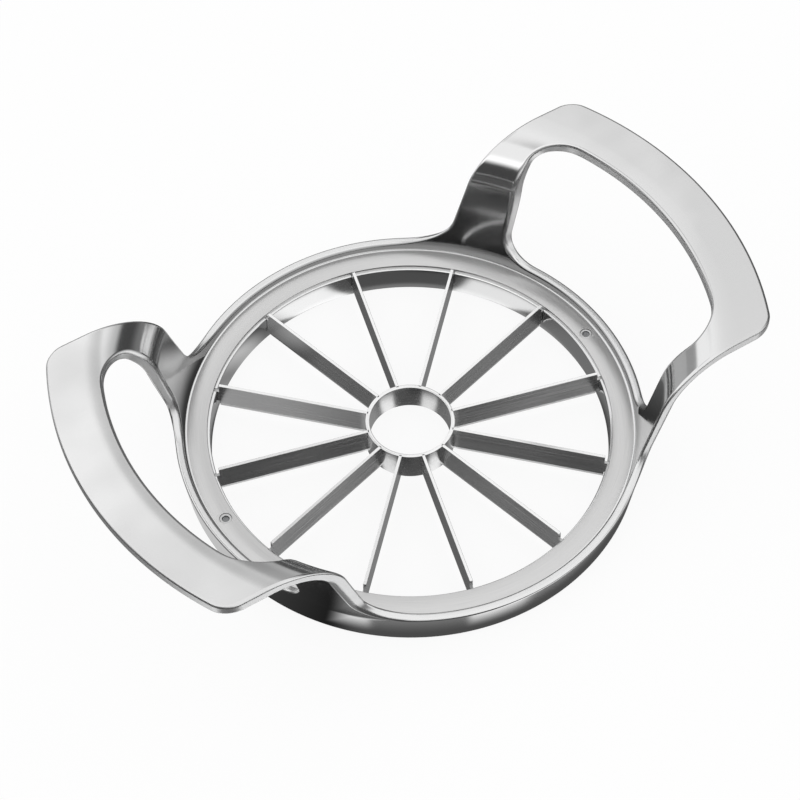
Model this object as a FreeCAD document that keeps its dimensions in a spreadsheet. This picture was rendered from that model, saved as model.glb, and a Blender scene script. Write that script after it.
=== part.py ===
"""Apple slicer and corer: a cast ring frame with two raised loop handles, and a star of twelve blades.

The frame is one casting.  Its ring has an inner wall, a ledge and a slanted rim wall.  At both ends of
the X axis the rim wall is carried up, bent over and run out flat to make a loop handle.  Twelve blades
run from a thin core ring to slots in the ring's inner wall.  A flat retaining ring lies on the ledge
over the blade tabs, and two staked pins hold it down.

Origin: on the ring's axis, in the plane of the ring's underside.  +Z up, +X along the handles.
Units: millimetres and degrees.
"""
import FreeCAD, Part
import math
import os
import Sketcher

doc = FreeCAD.newDocument("AppleSlicer")

# ---------------------------------------------------------------- driving dimensions
DIMENSIONS = [
    # ring
    ("opening_radius", 51.4, "inner wall of the ring, which the apple passes through"),
    ("ledge_height", 7.8, "ledge above the underside"),
    ("ledge_width", 6.05, "ledge, from the inner wall to the rim wall"),
    ("rim_rise", 2.0, "rim above the top of the retaining ring"),
    ("rim_width", 2.3, "rim, across its top"),
    ("foot_width", 7.6, "underside of the ring, from the inner wall out"),
    # handles
    ("wall_angle", 76.5, "slant of the rim wall's and the arms' inner face, from the horizontal"),
    ("back_angle", 75.0, "slant of the arms' outer face, from the horizontal"),
    ("bend_radius", 18.0, "upper face of the bend between an arm and its grip"),
    ("under_bend_radius", 13.8, "lower face of the same bend"),
    ("grip_thickness", 3.4, "grips"),
    ("grip_height", 45.0, "upper face of the grips above the underside"),
    ("finger_room", 18.8, "loop opening, from the ledge's outer edge out to the grip"),
    ("grip_width", 13.4, "grips, in the direction of X"),
    ("handle_half_width", 44.2, "half the width over the two arms of a handle"),
    ("arm_width", 9.2, "arms, where they rise from the rim"),
    ("arm_taper", 18.0, "angle by which the loop opening's sides spread outward"),
    ("grip_corner_radius", 7.0, "outer corners of the grips, in plan"),
    ("loop_corner_radius", 11.0, "outer corners of the loop openings, in plan"),
    ("arm_foot_radius", 8.0, "blend from the rim up the outer side of an arm"),
    ("loop_foot_radius", 8.0, "blend from the rim up the inner side of an arm"),
    # retaining ring and its pins
    ("plate_thickness", 1.0, "retaining ring"),
    ("plate_setback", 0.7, "retaining ring's bore, behind the ring's inner wall"),
    ("plate_clearance", 0.1, "retaining ring's outer edge to the rim wall"),
    ("pin_radius", 1.6, "staked pins"),
    ("pin_depth", 4.0, "pins below the ledge"),
    ("pin_recess", 0.1, "pin heads below the retaining ring's top"),
    ("dimple_radius", 1.0, "staking dimple in a pin's head"),
    ("dimple_depth", 0.5, "staking dimple in a pin's head"),
    # blades and core ring
    ("blade_count", 12, "blades round the core ring"),
    ("blade_thickness", 0.8, "blades"),
    ("blade_height", 8.5, "blades and core ring, top edge to cutting edge"),
    ("blade_rise", 1.4, "blades above the retaining ring's top"),
    ("bevel_height", 1.2, "ground bevel above a blade's cutting edge"),
    ("cutting_edge", 0.2, "flat left on a blade's cutting edge"),
    ("end_gap", 0.6, "blade shoulders to the ring's inner wall"),
    ("tab_height", 3.8, "blade tabs"),
    ("tab_reach", 3.0, "blade tabs, beyond the ring's inner wall"),
    ("tab_clearance", 0.1, "blade tabs to the walls and lid of their slots"),
    ("core_radius", 11.5, "core ring's outer wall"),
    ("core_wall", 1.05, "core ring"),
    ("core_bevel", 0.8, "ground bevel inside the core ring's cutting edge"),
    ("overrun", 5.0, "cutting profiles, past the metal that they cut"),
]

sheet = doc.addObject("Spreadsheet::Sheet", "dim")
for row, (alias, value, note) in enumerate(DIMENSIONS, start=1):
    sheet.set(f"A{row}", alias)
    sheet.set(f"B{row}", str(value))
    sheet.set(f"C{row}", note)
    sheet.setAlias(f"B{row}", alias)
doc.recompute()

# Heights and radii that more than one piece shares, as formulas of the sheet.
RECESS_RADIUS = "(dim.opening_radius + dim.ledge_width)"
GRIP_INNER_RADIUS = f"({RECESS_RADIUS} + dim.finger_room)"
GRIP_OUTER_RADIUS = f"({GRIP_INNER_RADIUS} + dim.grip_width)"
PLATE_TOP = "(dim.ledge_height + dim.plate_thickness)"
RIM_TOP = f"({PLATE_TOP} + dim.rim_rise)"
RIM_OUTER_RADIUS = f"({RECESS_RADIUS} + ({RIM_TOP} - dim.ledge_height) / tan(dim.wall_angle) + dim.rim_width)"
PLATE_INNER_RADIUS = "(dim.opening_radius + dim.plate_setback)"
PLATE_OUTER_RADIUS = f"({RECESS_RADIUS} - dim.plate_clearance)"
PIN_PLACE = f"(({PLATE_INNER_RADIUS} + {PLATE_OUTER_RADIUS}) / 2)"
PIN_TOP = f"({PLATE_TOP} - dim.pin_recess)"
BLADE_TOP = f"({PLATE_TOP} + dim.blade_rise)"
BLADE_BOTTOM = f"({BLADE_TOP} - dim.blade_height)"
TAB_TOP = "(dim.ledge_height - dim.tab_clearance)"
TAB_BOTTOM = f"({TAB_TOP} - dim.tab_height)"
TAB_END = "(dim.opening_radius + dim.tab_reach)"
BLADE_END = "(dim.opening_radius - dim.end_gap)"
BLADE_SPACING = 360.0 / float(sheet.get("blade_count"))


def number(formula):
    """The present value of a formula."""
    return float(sheet.evalExpression(str(formula)))


# ---------------------------------------------------------------- helpers for bodies and sketches
START, END, CENTRE = range(1, 4)
X_AXIS, Y_AXIS = range(-1, -3, -1)
ORIGIN = (-1, 1)


def new_body(label):
    body = doc.addObject("PartDesign::Body", label)
    body.Label = label
    return body


def origin_item(body, role):
    return next(item for item in body.Origin.OriginFeatures if item.Role == role)


def new_sketch(body, name, role, lift="0"):
    """A sketch on one of the body's own origin planes, lifted off it by a formula."""
    sketch = body.newObject("Sketcher::SketchObject", name)
    sketch.AttachmentSupport = [(origin_item(body, role), "")]
    sketch.MapMode = "FlatFace"
    sketch.setExpression("AttachmentOffset.Base.z", lift)
    return sketch


def dimension(sketch, formula, kind, *geometry):
    """A sketch dimension that follows a formula.  It starts at the value it will have."""
    value = number(formula)
    if kind == "Angle":
        value = math.radians(value)
    index = sketch.addConstraint(Sketcher.Constraint(kind, *geometry, value))
    sketch.setExpression(f"Constraints[{index}]", str(formula))


def place(sketch, geometry, end, x, y):
    """Pin a point of the sketch to two formulas, from the sketch's origin."""
    for formula, kind, axis in ((x, "DistanceX", Y_AXIS), (y, "DistanceY", X_AXIS)):
        if number(formula) == 0.0:
            sketch.addConstraint(Sketcher.Constraint("PointOnObject", geometry, end, axis))
        else:
            dimension(sketch, formula, kind, *ORIGIN, geometry, end)


def line(sketch, start, end):
    ends = [FreeCAD.Vector(number(x), number(y), 0) for x, y in (start, end)]
    return sketch.addGeometry(Part.LineSegment(*ends), False)


def arc(sketch, centre, radius, start_angle, end_angle):
    middle = FreeCAD.Vector(number(centre[0]), number(centre[1]), 0)
    circle = Part.Circle(middle, FreeCAD.Vector(0, 0, 1), number(radius))
    angles = [math.radians(number(angle)) for angle in (start_angle, end_angle)]
    return sketch.addGeometry(Part.ArcOfCircle(circle, *angles), False)


def polygon(sketch, corners):
    """A closed outline of straight lines, every corner pinned to its two formulas."""
    count = len(corners)
    sides = [line(sketch, corners[i], corners[(i + 1) % count]) for i in range(count)]
    for i, side in enumerate(sides):
        sketch.addConstraint(Sketcher.Constraint("Coincident", sides[i - 1], END, side, START))
        place(sketch, side, START, *corners[i])
    return sides


def circle(sketch, x, y, radius):
    middle = FreeCAD.Vector(number(x), number(y), 0)
    ring = sketch.addGeometry(Part.Circle(middle, FreeCAD.Vector(0, 0, 1), number(radius)), False)
    dimension(sketch, radius, "Radius", ring)
    place(sketch, ring, CENTRE, x, y)
    return ring


def revolve(body, name, sketch):
    """A full turn of the sketch about the body's Z axis."""
    feature = body.newObject("PartDesign::Revolution", name)
    feature.Profile = sketch
    feature.ReferenceAxis = (origin_item(body, "Z_Axis"), [""])
    feature.Angle = 360.0
    doc.recompute()
    return feature


def pad(body, name, sketch, length, both_ways=False):
    feature = body.newObject("PartDesign::Pad", name)
    feature.Profile = sketch
    feature.setExpression("Length", length)
    if both_ways:
        feature.SideType = "Symmetric"
    doc.recompute()
    return feature


def pocket(body, name, sketch, length=None, side="One side", reverse=False):
    """Cut the sketch out of the body, right through it or to a length.  It has to remove metal."""
    before = body.Tip.Shape.Volume
    feature = body.newObject("PartDesign::Pocket", name)
    feature.Profile = sketch
    feature.SideType = side
    feature.Reversed = reverse
    if length:
        feature.setExpression("Length", length)
    else:
        feature.Type = "ThroughAll"
    doc.recompute()
    assert feature.Shape.Volume < before, f"{name} removes nothing"
    return feature


def repeat(body, name, feature, count):
    """The feature again, evenly round the body's Z axis."""
    pattern = body.newObject("PartDesign::PolarPattern", name)
    pattern.Originals = [feature]
    pattern.Axis = (origin_item(body, "Z_Axis"), [""])
    pattern.Angle = 360.0
    if isinstance(count, str):
        pattern.setExpression("Occurrences", count)
    else:
        pattern.Occurrences = count
    body.Tip = pattern
    doc.recompute()
    return pattern


def round_edges(body, name, radius, chosen):
    """A fillet on every edge of the body that the test picks."""
    base = body.Tip
    names = [f"Edge{i}" for i, edge in enumerate(base.Shape.Edges, start=1) if chosen(base.Shape, edge)]
    feature = body.newObject("PartDesign::Fillet", name)
    feature.Base = (base, names)
    feature.setExpression("Radius", radius)
    doc.recompute()
    return feature


def is_at(value, formula):
    return abs(value - number(formula)) < 0.01


def is_sharp(shape, edge):
    """True where the two faces that meet at the edge do not run smoothly into each other."""
    faces = shape.ancestorsOfType(edge, Part.Face)
    if len(faces) != 2:
        return False
    middle = edge.valueAt((edge.FirstParameter + edge.LastParameter) / 2)
    normals = [face.normalAt(*face.Surface.parameter(middle)) for face in faces]
    return normals[0].dot(normals[1]) < math.cos(math.radians(20))


# ---------------------------------------------------------------- frame casting
def frame_section(body):
    """Half the frame's section: inner wall, ledge, slanted rim wall, bend and flat grip."""
    def bend(radius, slant, foot_x, foot_z, level):
        """Centre of a bend that runs off a slanted face through its foot into a level one, and its start."""
        z = f"({level} - {radius})"
        start_z = f"({z} + {radius} * cos({slant}))"
        start_x = f"({foot_x} + ({start_z} - {foot_z}) / tan({slant}))"
        return (f"({start_x} + {radius} * sin({slant}))", z), (start_x, start_z)

    under_z = "(dim.grip_height - dim.grip_thickness)"
    foot_x = "(dim.opening_radius + dim.foot_width)"
    middle, bend_start = bend("dim.bend_radius", "dim.wall_angle", RECESS_RADIUS, "dim.ledge_height",
                              "dim.grip_height")
    under_middle, under_start = bend("dim.under_bend_radius", "dim.back_angle", RIM_OUTER_RADIUS, RIM_TOP,
                                     under_z)

    sketch = new_sketch(body, "FrameSection", "XZ_Plane")
    inner_wall = line(sketch, ("dim.opening_radius", "0"), ("dim.opening_radius", "dim.ledge_height"))
    ledge = line(sketch, ("dim.opening_radius", "dim.ledge_height"), (RECESS_RADIUS, "dim.ledge_height"))
    slant = line(sketch, (RECESS_RADIUS, "dim.ledge_height"), bend_start)
    upper_bend = arc(sketch, middle, "dim.bend_radius", "90", "90 + dim.wall_angle")
    top = line(sketch, (middle[0], "dim.grip_height"), (GRIP_OUTER_RADIUS, "dim.grip_height"))
    edge = line(sketch, (GRIP_OUTER_RADIUS, "dim.grip_height"), (GRIP_OUTER_RADIUS, under_z))
    under = line(sketch, (GRIP_OUTER_RADIUS, under_z), (under_middle[0], under_z))
    under_bend = arc(sketch, under_middle, "dim.under_bend_radius", "90", "90 + dim.back_angle")
    back = line(sketch, (RIM_OUTER_RADIUS, RIM_TOP), under_start)
    ring_wall = line(sketch, (RIM_OUTER_RADIUS, RIM_TOP), (foot_x, "0"))
    base = line(sketch, (foot_x, "0"), ("dim.opening_radius", "0"))

    for first, last in ((inner_wall, ledge), (ledge, slant), (top, edge), (edge, under), (ring_wall, base),
                        (base, inner_wall)):
        sketch.addConstraint(Sketcher.Constraint("Coincident", first, END, last, START))
    sketch.addConstraint(Sketcher.Constraint("Coincident", back, START, ring_wall, START))
    sketch.addConstraint(Sketcher.Constraint("Tangent", slant, END, upper_bend, END))
    sketch.addConstraint(Sketcher.Constraint("Tangent", upper_bend, START, top, START))
    sketch.addConstraint(Sketcher.Constraint("Tangent", under, END, under_bend, START))
    sketch.addConstraint(Sketcher.Constraint("Tangent", back, END, under_bend, END))
    for level in (ledge, top, under, base):
        sketch.addConstraint(Sketcher.Constraint("Horizontal", level))
    for upright in (inner_wall, edge):
        sketch.addConstraint(Sketcher.Constraint("Vertical", upright))
    place(sketch, inner_wall, START, "dim.opening_radius", "0")
    place(sketch, slant, START, RECESS_RADIUS, "dim.ledge_height")
    place(sketch, back, START, RIM_OUTER_RADIUS, RIM_TOP)
    place(sketch, top, END, GRIP_OUTER_RADIUS, "dim.grip_height")
    dimension(sketch, foot_x, "DistanceX", *ORIGIN, base, START)
    dimension(sketch, under_z, "DistanceY", *ORIGIN, under, START)
    dimension(sketch, "dim.wall_angle", "Angle", slant)
    dimension(sketch, "dim.back_angle", "Angle", back)
    dimension(sketch, "dim.bend_radius", "Radius", upper_bend)
    dimension(sketch, "dim.under_bend_radius", "Radius", under_bend)
    return sketch


def arm_sides(body):
    """End view of what is cut away beside the handles: down to the rim, with a blend up each arm."""
    sketch = new_sketch(body, "ArmSides", "YZ_Plane")
    top = "(dim.grip_height + dim.overrun)"
    for sign in (1, -1):
        side = f"({sign} * dim.handle_half_width)"
        blend_end = f"({sign} * (dim.handle_half_width + dim.arm_foot_radius))"
        far = f"({sign} * ({GRIP_OUTER_RADIUS} + dim.overrun))"
        blend_z = f"({RIM_TOP} + dim.arm_foot_radius)"
        corners = [(side, blend_z), (side, top), (far, top), (far, RIM_TOP), (blend_end, RIM_TOP)]
        sides = [line(sketch, *pair) for pair in zip(corners, corners[1:])]
        for first, last in zip(sides, sides[1:]):
            sketch.addConstraint(Sketcher.Constraint("Coincident", first, END, last, START))
        angles = ("180", "270") if sign > 0 else ("270", "360")
        blend = arc(sketch, (blend_end, blend_z), "dim.arm_foot_radius", *angles)
        lower, upper = (END, START) if sign > 0 else (START, END)
        sketch.addConstraint(Sketcher.Constraint("Tangent", sides[0], START, blend, upper))
        sketch.addConstraint(Sketcher.Constraint("Tangent", sides[3], END, blend, lower))
        dimension(sketch, "dim.arm_foot_radius", "Radius", blend)
        for upright in (sides[0], sides[2]):
            sketch.addConstraint(Sketcher.Constraint("Vertical", upright))
        for level in (sides[1], sides[3]):
            sketch.addConstraint(Sketcher.Constraint("Horizontal", level))
        place(sketch, sides[0], END, side, top)
        place(sketch, sides[2], END, far, RIM_TOP)
    return sketch


def loop_outline(body, sign):
    """Plan of a handle's loop opening, from inside the ring out to the grip, with round outer corners."""
    sketch = new_sketch(body, "LoopOutline" + ("Right" if sign > 0 else "Left"), "XY_Plane", RIM_TOP)
    half_width = "(dim.handle_half_width - dim.arm_width)"
    start_x = "(dim.opening_radius / 2)"
    start_y = f"({half_width} - ({RECESS_RADIUS} - {start_x}) * tan(dim.arm_taper))"
    corner, reach = number("dim.loop_corner_radius"), number(GRIP_INNER_RADIUS)
    taper = math.radians(number("dim.arm_taper"))

    # The corner's centre lies one corner radius inside the side line and inside the grip's arc.
    along = FreeCAD.Vector(math.cos(taper), math.sin(taper), 0)
    inward = FreeCAD.Vector(math.sin(taper), -math.cos(taper), 0)
    foot = FreeCAD.Vector(number(start_x), number(start_y), 0)
    base = foot + inward * corner
    run = -base.dot(along) + math.sqrt(base.dot(along) ** 2 - base.dot(base) + (reach - corner) ** 2)
    centre = base + along * run
    touch = centre - inward * corner
    swing = math.degrees(math.atan2(centre.y, centre.x))
    lean = 90 + math.degrees(taper)

    def angles(low, high):
        return (low, high) if sign > 0 else (180 - high, 180 - low)

    grip = arc(sketch, (0, 0), GRIP_INNER_RADIUS, *angles(-swing, swing))
    grip_ends = {1: END, -1: START} if sign > 0 else {1: START, -1: END}
    closing = line(sketch, (sign * foot.x, -foot.y), (sign * foot.x, foot.y))
    sketch.addConstraint(Sketcher.Constraint("Coincident", grip, CENTRE, *ORIGIN))
    dimension(sketch, GRIP_INNER_RADIUS, "Radius", grip)
    place(sketch, closing, START, f"{sign} * {start_x}", f"-{start_y}")
    place(sketch, closing, END, f"{sign} * {start_x}", start_y)
    for half, closing_end in ((1, END), (-1, START)):
        side = line(sketch, (sign * foot.x, half * foot.y), (sign * touch.x, half * touch.y))
        sweep = (swing, lean) if half > 0 else (-lean, -swing)
        bend = arc(sketch, (sign * centre.x, half * centre.y), corner, *angles(*sweep))
        at_grip, at_side = (START, END) if sign * half > 0 else (END, START)
        sketch.addConstraint(Sketcher.Constraint("Coincident", side, START, closing, closing_end))
        sketch.addConstraint(Sketcher.Constraint("Tangent", side, END, bend, at_side))
        sketch.addConstraint(Sketcher.Constraint("Tangent", grip, grip_ends[half], bend, at_grip))
        dimension(sketch, "dim.loop_corner_radius", "Radius", bend)
        slope = f"{half} * dim.arm_taper" if sign > 0 else f"180 - {half} * dim.arm_taper"
        dimension(sketch, slope, "Angle", side)
    return sketch


def pin_circles(body, name, height, radius):
    """Two equal circles, one at each pin's place."""
    sketch = new_sketch(body, name, "XY_Plane", height)
    for sign in (1, -1):
        circle(sketch, f"{sign} * {PIN_PLACE}", "0", radius)
    return sketch


def build_frame():
    body = new_body("frame_casting")
    revolve(body, "Casting", frame_section(body))
    pocket(body, "TrimArmSides", arm_sides(body), side="Symmetric")
    pocket(body, "LoopRight", loop_outline(body, 1), reverse=True)
    pocket(body, "LoopLeft", loop_outline(body, -1), reverse=True)

    def grip_corner(shape, edge):
        return (isinstance(edge.Curve, Part.Line)
                and all(is_at(math.hypot(v.X, v.Y), GRIP_OUTER_RADIUS)
                        and is_at(abs(v.Y), "dim.handle_half_width") for v in edge.Vertexes))

    def loop_foot(shape, edge):
        return (is_sharp(shape, edge) and isinstance(edge.Curve, Part.Line)
                and all(is_at(v.Z, RIM_TOP) for v in edge.Vertexes))

    round_edges(body, "RoundGripCorners", "dim.grip_corner_radius", grip_corner)
    round_edges(body, "BlendLoopFeet", "dim.loop_foot_radius", loop_foot)

    # Twelve slots in the inner wall, open at the ledge, take the blade tabs.
    slot = new_sketch(body, "BladeSlot", "XY_Plane", "dim.ledge_height")
    slot_half = "(dim.blade_thickness / 2 + dim.tab_clearance)"
    slot_end = f"({TAB_END} + dim.tab_clearance)"
    slot_start = f"({BLADE_END} - dim.end_gap)"
    polygon(slot, [(slot_start, f"-{slot_half}"), (slot_end, f"-{slot_half}"), (slot_end, slot_half),
                   (slot_start, slot_half)])
    slot.setExpression("AttachmentOffset.Rotation.Angle", "180 / dim.blade_count")
    first = pocket(body, "FirstSlot", slot, length=f"dim.ledge_height - {TAB_BOTTOM} + dim.tab_clearance")
    repeat(body, "Slots", first, "dim.blade_count")

    # Two blind holes in the ledge take the pins.
    holes = pin_circles(body, "PinHoles", "dim.ledge_height", "dim.pin_radius")
    pocket(body, "DrillPinHoles", holes, length="dim.pin_depth")
    return body


# ---------------------------------------------------------------- retaining ring and pins
def build_retaining_ring():
    body = new_body("retaining_ring")
    sketch = new_sketch(body, "RetainingRingPlan", "XY_Plane", "dim.ledge_height")
    circle(sketch, "0", "0", PLATE_OUTER_RADIUS)
    circle(sketch, "0", "0", PLATE_INNER_RADIUS)
    pad(body, "RetainingRing", sketch, "dim.plate_thickness")
    holes = pin_circles(body, "RetainingRingHoles", "dim.ledge_height", "dim.pin_radius")
    pocket(body, "PinHolesInRing", holes, length="dim.plate_thickness", reverse=True)
    return body


def build_pins():
    """Two equal staked pins, opposite each other, as two solids of one body."""
    body = new_body("retaining_pins")
    body.AllowCompound = True
    foot = "(dim.ledge_height - dim.pin_depth)"
    pad(body, "Pins", pin_circles(body, "PinPlan", foot, "dim.pin_radius"), f"{PIN_TOP} - {foot}")
    pocket(body, "Dimples", pin_circles(body, "DimplePlan", PIN_TOP, "dim.dimple_radius"), "dim.dimple_depth")
    return body


# ---------------------------------------------------------------- blades and core ring
def build_core_ring():
    """A thin tube, ground inside to a cutting edge."""
    body = new_body("core_ring")
    sketch = new_sketch(body, "CoreRingSection", "XZ_Plane")
    bore = "(dim.core_radius - dim.core_wall)"
    polygon(sketch, [(bore, BLADE_TOP), (bore, f"{BLADE_BOTTOM} + dim.bevel_height"),
                     (f"{bore} + dim.core_bevel", BLADE_BOTTOM), ("dim.core_radius", BLADE_BOTTOM),
                     ("dim.core_radius", BLADE_TOP)])
    revolve(body, "CoreRing", sketch)
    return body


def build_blade(index):
    """A straight blade along X: a strip ground on both sides, its ends cut to the core ring and the slot."""
    body = new_body(f"blade_{index + 1:02d}")
    strip = new_sketch(body, "BladeStrip", "YZ_Plane")
    half = "(dim.blade_thickness / 2)"
    edge = "(dim.cutting_edge / 2)"
    bevel = f"({BLADE_BOTTOM} + dim.bevel_height)"
    polygon(strip, [(f"-{half}", BLADE_TOP), (f"-{half}", bevel), (f"-{edge}", BLADE_BOTTOM),
                    (edge, BLADE_BOTTOM), (half, bevel), (half, BLADE_TOP)])
    pad(body, "Strip", strip, TAB_END)

    # Above and below its tab the blade stops short of the ring's inner wall.
    steps = new_sketch(body, "BladeSteps", "XZ_Plane")
    past = f"({TAB_END} + dim.overrun)"
    polygon(steps, [(BLADE_END, TAB_TOP), (past, TAB_TOP), (past, f"{BLADE_TOP} + dim.overrun"),
                    (BLADE_END, f"{BLADE_TOP} + dim.overrun")])
    polygon(steps, [(BLADE_END, TAB_BOTTOM), (f"{BLADE_END} - dim.end_gap", BLADE_BOTTOM),
                    (f"{BLADE_END} - dim.end_gap", f"{BLADE_BOTTOM} - dim.overrun"),
                    (past, f"{BLADE_BOTTOM} - dim.overrun"), (past, TAB_BOTTOM)])
    pocket(body, "CutSteps", steps, side="Symmetric")

    core = new_sketch(body, "CoreSeat", "XY_Plane")
    circle(core, "0", "0", "dim.core_radius")
    pocket(body, "CutCoreSeat", core, reverse=True)

    azimuth = (index - 0.5) * BLADE_SPACING
    body.Placement = FreeCAD.Placement(FreeCAD.Vector(), FreeCAD.Rotation(FreeCAD.Vector(0, 0, 1), azimuth))
    return body


# ---------------------------------------------------------------- build, check and write
parts = [build_frame(), build_retaining_ring(), build_pins(), build_core_ring()]
parts += [build_blade(index) for index in range(int(number("dim.blade_count")))]
doc.recompute()

for item in doc.Objects:
    assert "Invalid" not in item.State and "Error" not in item.State, f"{item.Label}: {item.State}"
os.makedirs("parts", exist_ok=True)
for body in parts:
    shape = body.Shape
    assert not shape.isNull() and shape.isValid(), f"{body.Label} has no valid shape"
    shape.exportStep(f"parts/{body.Label}.step")
    print(f"{body.Label}: {len(shape.Solids)} solid(s), {shape.Volume:.1f} mm3")
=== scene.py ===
# %% [markdown]
# # An apple slicer in polished cast metal
#
# The tool is a cast ring with a loop handle at each side.  A star of twelve blades fills the ring, a
# short tube at the centre takes the core out, and a flat satin ring with two pins holds the blades in
# their slots.  This lesson dresses the measured solids of the tool as real metal, piece by piece.
#
# The solids come first, because everything else is placed by them.

# %% Load the solids
import math

import bmesh
import bpy
from mathutils import Matrix, Vector


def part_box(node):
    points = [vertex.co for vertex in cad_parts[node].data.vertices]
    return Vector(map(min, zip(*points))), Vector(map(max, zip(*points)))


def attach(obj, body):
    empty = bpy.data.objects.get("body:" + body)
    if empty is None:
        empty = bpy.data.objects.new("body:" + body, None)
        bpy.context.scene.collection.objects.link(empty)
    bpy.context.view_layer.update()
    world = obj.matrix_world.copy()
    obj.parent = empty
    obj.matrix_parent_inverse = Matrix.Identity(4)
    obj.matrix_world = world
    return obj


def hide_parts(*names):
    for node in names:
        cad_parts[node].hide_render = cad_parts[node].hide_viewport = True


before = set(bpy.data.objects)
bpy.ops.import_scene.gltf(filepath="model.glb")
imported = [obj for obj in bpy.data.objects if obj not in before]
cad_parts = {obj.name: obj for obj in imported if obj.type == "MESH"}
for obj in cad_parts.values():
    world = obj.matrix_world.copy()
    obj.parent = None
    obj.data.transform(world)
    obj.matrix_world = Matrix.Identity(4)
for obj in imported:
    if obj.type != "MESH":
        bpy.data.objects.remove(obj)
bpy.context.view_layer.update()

MM = 0.001

# %% [markdown]
# ## Seeing it
#
# A tool this size is looked at from about an arm's length, from above and a little to the left.  A long
# lens keeps the ring nearly round and the two handles the same size, which a wide lens would not do.
# The camera is placed by three turns and a point in space.  The view transform is Standard, so that a
# colour that is written as a number comes out as that colour.

# %% Camera
CAMERA_PLACE = (-220.82, -348.92, 588.24)
CAMERA_TURNS = (35.964, 0.118, -32.13)
PICTURE_SIDE = 800
FOCAL_LENGTH_PIXELS = 2768.2
SENSOR = 36.0

camera_data = bpy.data.cameras.new("camera")
camera_data.sensor_width = SENSOR
camera_data.lens = FOCAL_LENGTH_PIXELS / PICTURE_SIDE * SENSOR
camera_data.clip_start = 0.01
camera_data.clip_end = 20.0
camera = bpy.data.objects.new("camera", camera_data)
camera.location = [value * MM for value in CAMERA_PLACE]
camera.rotation_euler = [math.radians(turn) for turn in CAMERA_TURNS]
bpy.context.scene.collection.objects.link(camera)
bpy.context.scene.camera = camera
bpy.context.scene.view_settings.view_transform = "Standard"
print("lens:", round(camera_data.lens, 1), "mm")

# %% [markdown]
# ## Writing shader maths as plain Python
#
# A metal finish is a few patterns mixed together.  Laying out their nodes by hand hides the idea, so
# `Field` wraps one socket and lets Python's own operators add the Math nodes.  `Finish` is one material:
# its `node` method makes any other kind of node from a type, its settings and what goes into its sockets.

# %% Field
class Field:
    """A value that varies over a surface."""

    def __init__(self, finish, socket):
        self.finish = finish
        self.socket = socket

    def maths(self, operation, *terms):
        return self.finish.node("ShaderNodeMath", {"operation": operation}, dict(enumerate(terms)))

    def __add__(self, other):
        return self.maths("ADD", self, other)

    __radd__ = __add__

    def __sub__(self, other):
        return self.maths("SUBTRACT", self, other)

    def __rsub__(self, other):
        return self.maths("SUBTRACT", other, self)

    def __mul__(self, other):
        return self.maths("MULTIPLY", self, other)

    __rmul__ = __mul__

    def __truediv__(self, other):
        return self.maths("DIVIDE", self, other)

    def __rtruediv__(self, other):
        return self.maths("DIVIDE", other, self)

    def root(self):
        return self.maths("SQRT", self)

    def least(self, other):
        return self.maths("MINIMUM", self, other)

    def most(self, other):
        return self.maths("MAXIMUM", self, other)


print("a Field can be added, taken away, multiplied and divided")


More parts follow.
